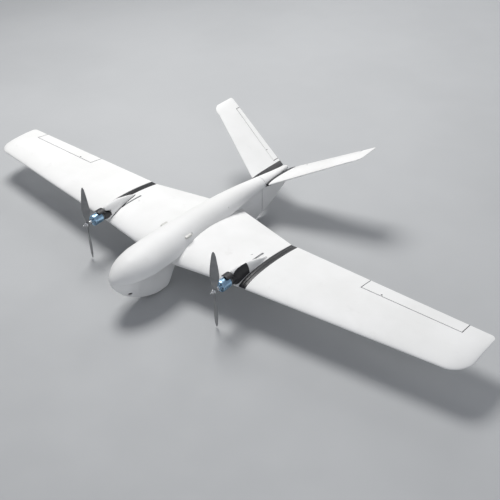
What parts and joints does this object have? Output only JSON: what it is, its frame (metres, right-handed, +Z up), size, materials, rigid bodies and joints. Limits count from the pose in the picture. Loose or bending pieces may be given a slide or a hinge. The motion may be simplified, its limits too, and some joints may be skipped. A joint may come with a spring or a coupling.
{
  "type": "fixed wing drone",
  "caption": "Foam survey aircraft with tractor motors on the wing joints, a V-tail, a lift-off top cover, detachable outer wings and a belly pod.",
  "frame": {"origin": "on the ground under the middle of the bounding box, on the aircraft's centre plane", "axes": "+X to port, -Y along the nose, +Z up"},
  "size_m": [1.968, 0.9078, 0.2841],
  "materials": {
    "white_foam": "moulded foam, satin",
    "black_plastic": "satin black",
    "carbon_tube": "satin woven carbon",
    "plywood": "bare laser-cut plywood",
    "battery_wrap": "shrink wrap",
    "gps_plastic": "satin",
    "strap_fabric": "woven",
    "blue_metal": "anodised",
    "winding_metal": "machined and wound",
    "silver_metal": "turned",
    "grey_plastic": "satin moulded",
    "steel": "bright",
    "servo_plastic": "satin"
  },
  "bodies": {
    "airframe": {"lower_hull": "white_foam", "belly_fairing": "white_foam", "tail_cap": "white_foam", "belly_skid": "black_plastic", "nose_camera": "black_plastic", "survey_camera": "black_plastic", "equipment_tray": "plywood", "battery": "battery_wrap", "battery_straps": "strap_fabric", "autopilot": "black_plastic", "gps_module": "gps_plastic", "main_spar": "carbon_tube", "rear_spar": "carbon_tube", "tail_bracket": "black_plastic", "centre_wing_port": "white_foam", "centre_wing_starboard": "white_foam", "centre_rib_port": "black_plastic", "centre_rib_starboard": "black_plastic", "motor_mount_port": "black_plastic", "motor_mount_starboard": "black_plastic", "motor_stator_port": "winding_metal", "motor_stator_starboard": "winding_metal", "nacelle_cover_port": "white_foam", "nacelle_cover_starboard": "white_foam", "speed_controllers": "black_plastic"},
    "hatch": {"top_cover": "white_foam"},
    "latch_port": {"latch_port": "servo_plastic"},
    "latch_starboard": {"latch_starboard": "servo_plastic"},
    "rotor_port": {"motor_bell_port": "blue_metal", "prop_shaft_port": "silver_metal", "propeller_port": "grey_plastic", "prop_nut_port": "silver_metal"},
    "wing_port": {"outer_wing_port": "white_foam", "outer_rib_port": "black_plastic", "aileron_servo_port": "black_plastic"},
    "aileron_port": {"aileron_port": "white_foam", "aileron_horn_port": "black_plastic"},
    "aileron_arm_port": {"aileron_servo_arm_port": "servo_plastic"},
    "aileron_rod_port": {"aileron_pushrod_port": "steel"},
    "fin_port": {"tail_fin_port": "white_foam", "tail_servo_port": "black_plastic"},
    "ruddervator_port": {"ruddervator_port": "white_foam"},
    "tail_arm_port": {"tail_servo_arm_port": "servo_plastic"},
    "tail_rod_port": {"tail_pushrod_port": "steel"},
    "rotor_starboard": {"motor_bell_starboard": "blue_metal", "prop_shaft_starboard": "silver_metal", "propeller_starboard": "grey_plastic", "prop_nut_starboard": "silver_metal"},
    "wing_starboard": {"outer_wing_starboard": "white_foam", "outer_rib_starboard": "black_plastic", "aileron_servo_starboard": "black_plastic"},
    "aileron_starboard": {"aileron_starboard": "white_foam", "aileron_horn_starboard": "black_plastic"},
    "aileron_arm_starboard": {"aileron_servo_arm_starboard": "servo_plastic"},
    "aileron_rod_starboard": {"aileron_pushrod_starboard": "steel"},
    "fin_starboard": {"tail_fin_starboard": "white_foam", "tail_servo_starboard": "black_plastic"},
    "ruddervator_starboard": {"ruddervator_starboard": "white_foam"},
    "tail_arm_starboard": {"tail_servo_arm_starboard": "servo_plastic"},
    "tail_rod_starboard": {"tail_pushrod_starboard": "steel"}
  },
  "joints": [
    {"name": "hatch_lift", "type": "slide", "parent": "airframe", "child": "hatch", "axis": [0, 0, 1], "range_m": [0, 0.15]},
    {"name": "latch_slide_port", "type": "slide", "parent": "hatch", "child": "latch_port", "axis": [0, 1, 0], "range_m": [0, 0.006]},
    {"name": "latch_slide_starboard", "type": "slide", "parent": "hatch", "child": "latch_starboard", "axis": [0, 1, 0], "range_m": [0, 0.006]},
    {"name": "rotor_spin_port", "type": "hinge", "parent": "airframe", "child": "rotor_port", "pos_m": [0.2776, -0.2665, 0.1445], "axis": [0, -1, 0], "continuous": true},
    {"name": "wing_slide_port", "type": "slide", "parent": "airframe", "child": "wing_port", "axis": [1, 0, 0], "range_m": [0, 0.2]},
    {"name": "aileron_hinge_port", "type": "hinge", "parent": "wing_port", "child": "aileron_port", "pos_m": [0.654, -0.02496, 0.12614], "axis": [0.9998, 0.0188, -0.0009], "range_deg": [-25, 25]},
    {"name": "aileron_arm_turn_port", "type": "hinge", "parent": "wing_port", "child": "aileron_arm_port", "pos_m": [0.65517, -0.08695, 0.12614], "axis": [0.9998, 0.0188, -0.0009], "range_deg": [-25, 25]},
    {"name": "aileron_rod_turn_port", "type": "hinge", "parent": "aileron_arm_port", "child": "aileron_rod_port", "pos_m": [0.65515, -0.08695, 0.11214], "axis": [0.9998, 0.0188, -0.0009], "range_deg": [-25, 25]},
    {"name": "fin_slide_port", "type": "slide", "parent": "airframe", "child": "fin_port", "axis": [0.8965, 0, 0.4431], "range_m": [0, 0.08]},
    {"name": "ruddervator_hinge_port", "type": "hinge", "parent": "fin_port", "child": "ruddervator_port", "pos_m": [0.09205, 0.37435, 0.16701], "axis": [0.8675, 0.2522, 0.4287], "range_deg": [-25, 25]},
    {"name": "tail_arm_turn_port", "type": "hinge", "parent": "fin_port", "child": "tail_arm_port", "pos_m": [0.10607, 0.31436, 0.17394], "axis": [0.8675, 0.2522, 0.4287], "range_deg": [-25, 25]},
    {"name": "tail_rod_turn_port", "type": "hinge", "parent": "tail_arm_port", "child": "tail_rod_port", "pos_m": [0.11227, 0.31436, 0.16139], "axis": [0.8675, 0.2522, 0.4287], "range_deg": [-25, 25]},
    {"name": "rotor_spin_starboard", "type": "hinge", "parent": "airframe", "child": "rotor_starboard", "pos_m": [-0.2776, -0.2665, 0.1445], "axis": [0, -1, 0], "continuous": true},
    {"name": "wing_slide_starboard", "type": "slide", "parent": "airframe", "child": "wing_starboard", "axis": [-1, 0, 0], "range_m": [0, 0.2]},
    {"name": "aileron_hinge_starboard", "type": "hinge", "parent": "wing_starboard", "child": "aileron_starboard", "pos_m": [-0.654, -0.02496, 0.12614], "axis": [0.9998, -0.0188, 0.0009], "range_deg": [-25, 25]},
    {"name": "aileron_arm_turn_starboard", "type": "hinge", "parent": "wing_starboard", "child": "aileron_arm_starboard", "pos_m": [-0.65517, -0.08695, 0.12614], "axis": [0.9998, -0.0188, 0.0009], "range_deg": [-25, 25]},
    {"name": "aileron_rod_turn_starboard", "type": "hinge", "parent": "aileron_arm_starboard", "child": "aileron_rod_starboard", "pos_m": [-0.65515, -0.08695, 0.11214], "axis": [0.9998, -0.0188, 0.0009], "range_deg": [-25, 25]},
    {"name": "fin_slide_starboard", "type": "slide", "parent": "airframe", "child": "fin_starboard", "axis": [-0.8965, 0, 0.4431], "range_m": [0, 0.08]},
    {"name": "ruddervator_hinge_starboard", "type": "hinge", "parent": "fin_starboard", "child": "ruddervator_starboard", "pos_m": [-0.09205, 0.37435, 0.16701], "axis": [0.8675, -0.2522, -0.4287], "range_deg": [-25, 25]},
    {"name": "tail_arm_turn_starboard", "type": "hinge", "parent": "fin_starboard", "child": "tail_arm_starboard", "pos_m": [-0.10607, 0.31436, 0.17394], "axis": [0.8675, -0.2522, -0.4287], "range_deg": [-25, 25]},
    {"name": "tail_rod_turn_starboard", "type": "hinge", "parent": "tail_arm_starboard", "child": "tail_rod_starboard", "pos_m": [-0.11227, 0.31436, 0.16139], "axis": [0.8675, -0.2522, -0.4287], "range_deg": [-25, 25]}
  ],
  "couplings": [
    {"joint": "aileron_arm_turn_port", "follows": "aileron_hinge_port", "ratio": 1},
    {"joint": "aileron_rod_turn_port", "follows": "aileron_hinge_port", "ratio": -1},
    {"joint": "tail_arm_turn_port", "follows": "ruddervator_hinge_port", "ratio": 1},
    {"joint": "tail_rod_turn_port", "follows": "ruddervator_hinge_port", "ratio": -1},
    {"joint": "aileron_arm_turn_starboard", "follows": "aileron_hinge_starboard", "ratio": 1},
    {"joint": "aileron_rod_turn_starboard", "follows": "aileron_hinge_starboard", "ratio": -1},
    {"joint": "tail_arm_turn_starboard", "follows": "ruddervator_hinge_starboard", "ratio": 1},
    {"joint": "tail_rod_turn_starboard", "follows": "ruddervator_hinge_starboard", "ratio": -1}
  ]
}
